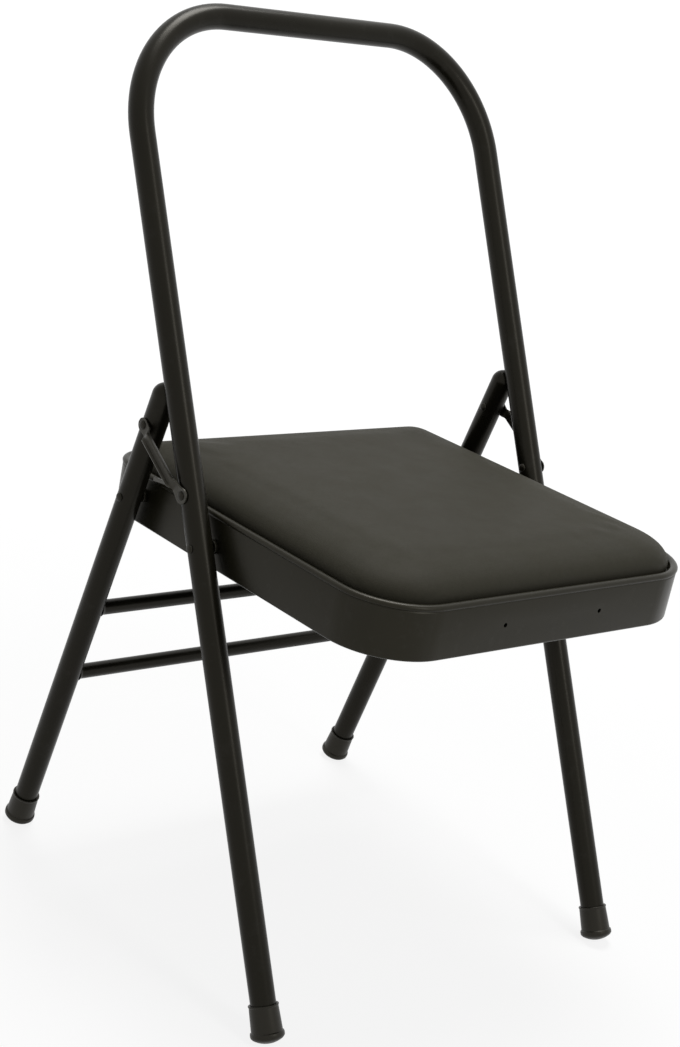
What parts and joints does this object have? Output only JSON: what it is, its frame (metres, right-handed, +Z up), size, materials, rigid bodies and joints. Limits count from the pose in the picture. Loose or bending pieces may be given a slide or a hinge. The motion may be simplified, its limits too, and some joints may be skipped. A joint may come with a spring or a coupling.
{
  "type": "folding yoga chair",
  "caption": "Folding steel yoga chair with an open hoop in place of a backrest, a padded seat pan, crossbar-tied rear legs, side links and rubber feet.",
  "frame": {"origin": "on the floor under the middle of the bounding box, in the open pose", "axes": "+Z up; the chair's front faces -Y; +X is to the right as seen from the front; left in node names is -X"},
  "size_m": [0.5088, 0.5053, 0.8804],
  "materials": {
    "coated_steel": "satin powder coat",
    "coated_sheet": "satin powder coat",
    "coated_rivet": "satin",
    "rubber": "matte",
    "faux_leather": "matte, lightly mottled",
    "foam": "open-cell foam, inside the cover",
    "plywood": "raw plywood, inside the cover",
    "zinc_steel": "zinc plated"
  },
  "bodies": {
    "front_frame": {"front_tube_hoop": "coated_steel", "rivet_link_front_left": "coated_rivet", "rivet_link_front_right": "coated_rivet", "rivet_seat_front_left": "coated_rivet", "rivet_seat_front_right": "coated_rivet", "rubber_foot_front_left": "rubber", "rubber_foot_front_right": "rubber", "spacer_seat_front_left": "coated_rivet", "spacer_seat_front_right": "coated_rivet"},
    "seat": {"board_screw_front_left": "zinc_steel", "board_screw_front_right": "zinc_steel", "board_screw_rear_left": "zinc_steel", "board_screw_rear_right": "zinc_steel", "cushion_cover": "faux_leather", "cushion_foam": "foam", "rivet_seat_rear_left": "coated_rivet", "rivet_seat_rear_right": "coated_rivet", "seat_board": "plywood", "seat_pan": "coated_sheet", "spacer_seat_rear_left": "coated_rivet", "spacer_seat_rear_right": "coated_rivet"},
    "rear_legs": {"rear_crossbar_lower": "coated_steel", "rear_crossbar_upper": "coated_steel", "rear_leg_left": "coated_steel", "rear_leg_right": "coated_steel", "rivet_tail_link_rear_left": "coated_rivet", "rivet_tail_link_rear_right": "coated_rivet", "rubber_foot_rear_left": "rubber", "rubber_foot_rear_right": "rubber"},
    "links": {"fold_link_left": "coated_steel", "fold_link_right": "coated_steel", "rivet_link_rear_left": "coated_rivet", "rivet_link_rear_right": "coated_rivet"}
  },
  "joints": [
    {"name": "seat_fold", "type": "hinge", "parent": "front_frame", "child": "seat", "pos_m": [0, -0.01191, 0.41317], "axis": [-1, 0, 0], "range_deg": [0, 109.1]},
    {"name": "rear_leg_fold", "type": "hinge", "parent": "seat", "child": "rear_legs", "pos_m": [0, 0.10711, 0.4201], "axis": [-1, 0, 0], "range_deg": [-67.1, 0]},
    {"name": "link_fold", "type": "hinge", "parent": "front_frame", "child": "links", "pos_m": [0, 0.01267, 0.45751], "axis": [-1, 0, 0], "range_deg": [0, 131.8]}
  ],
  "couplings": [
    {"joint": "rear_leg_fold", "follows": "seat_fold", "ratio": -0.61445},
    {"joint": "link_fold", "follows": "seat_fold", "ratio": 1.2076}
  ]
}
